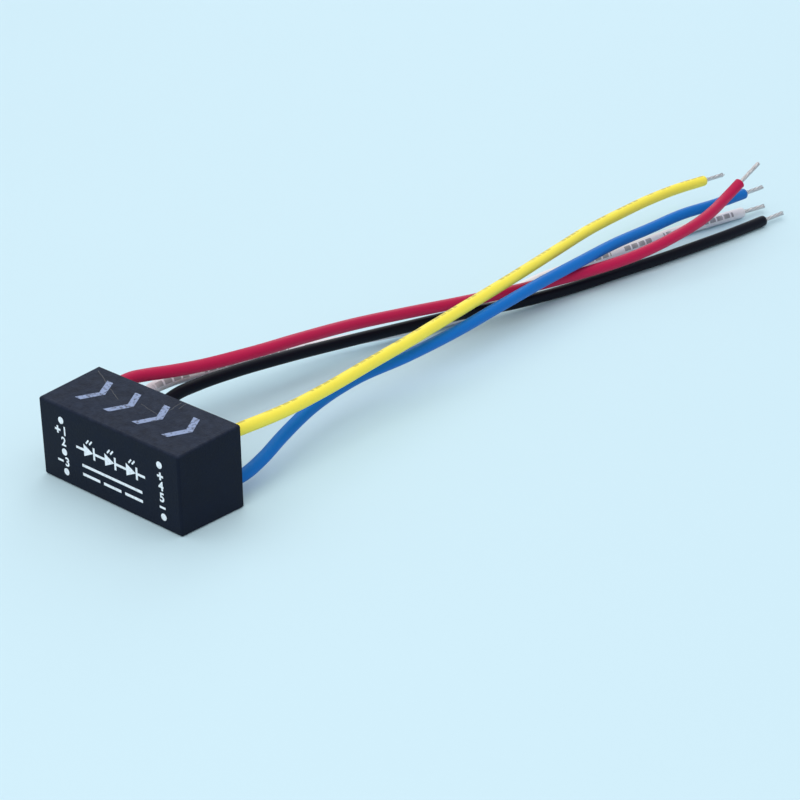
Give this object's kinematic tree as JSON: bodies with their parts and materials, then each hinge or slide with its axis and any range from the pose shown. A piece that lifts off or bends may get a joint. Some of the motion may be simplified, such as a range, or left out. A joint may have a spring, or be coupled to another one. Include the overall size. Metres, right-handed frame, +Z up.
{
  "type": "led driver module",
  "caption": "Small potted black box module that feeds LEDs a constant current, with colour-coded flying leads leaving its open rear and ending in bare tinned strands.",
  "frame": {"origin": "middle of the case's bottom side, as the module lies on a surface", "axes": "+X along the case, +Y from the label face to the open rear where the leads leave, +Z up"},
  "size_m": [0.0226, 0.1212, 0.0099],
  "materials": {
    "case_plastic": "fine moulded matt black",
    "potting_resin": "poured, smooth, satin",
    "board_laminate": "solder resist",
    "ferrite": "ground",
    "enamelled_copper": "enamelled wire",
    "chip_plastic": "moulded",
    "tinned_metal": "bright tin",
    "chip_ceramic": "fired",
    "resistor_body": "glazed",
    "copper_strand": "drawn",
    "solder": "bright",
    "red_insulation": "extruded, satin",
    "white_insulation": "extruded, satin",
    "black_insulation": "extruded, satin",
    "yellow_insulation": "extruded, satin",
    "blue_insulation": "extruded, satin",
    "tinned_strand": "tinned strands"
  },
  "bodies": {
    "root": {"case": "case_plastic", "potting": "potting_resin", "circuit_board": "board_laminate", "inductor_core": "ferrite", "inductor_winding": "enamelled_copper", "driver_chip": "chip_plastic", "driver_chip_legs": "tinned_metal", "freewheel_diode": "chip_plastic", "diode_tabs": "tinned_metal", "input_capacitor": "chip_ceramic", "output_capacitor": "chip_ceramic", "sense_resistors": "resistor_body", "dimming_parts": "resistor_body", "chip_end_caps": "tinned_metal", "lead_cores": "copper_strand", "solder_joints": "solder", "red_lead": "red_insulation", "red_lead_tip": "tinned_strand", "white_lead": "white_insulation", "white_lead_tip": "tinned_strand", "black_lead": "black_insulation", "black_lead_tip": "tinned_strand", "yellow_lead": "yellow_insulation", "yellow_lead_tip": "tinned_strand", "blue_lead": "blue_insulation", "blue_lead_tip": "tinned_strand"}
  },
  "joints": []
}
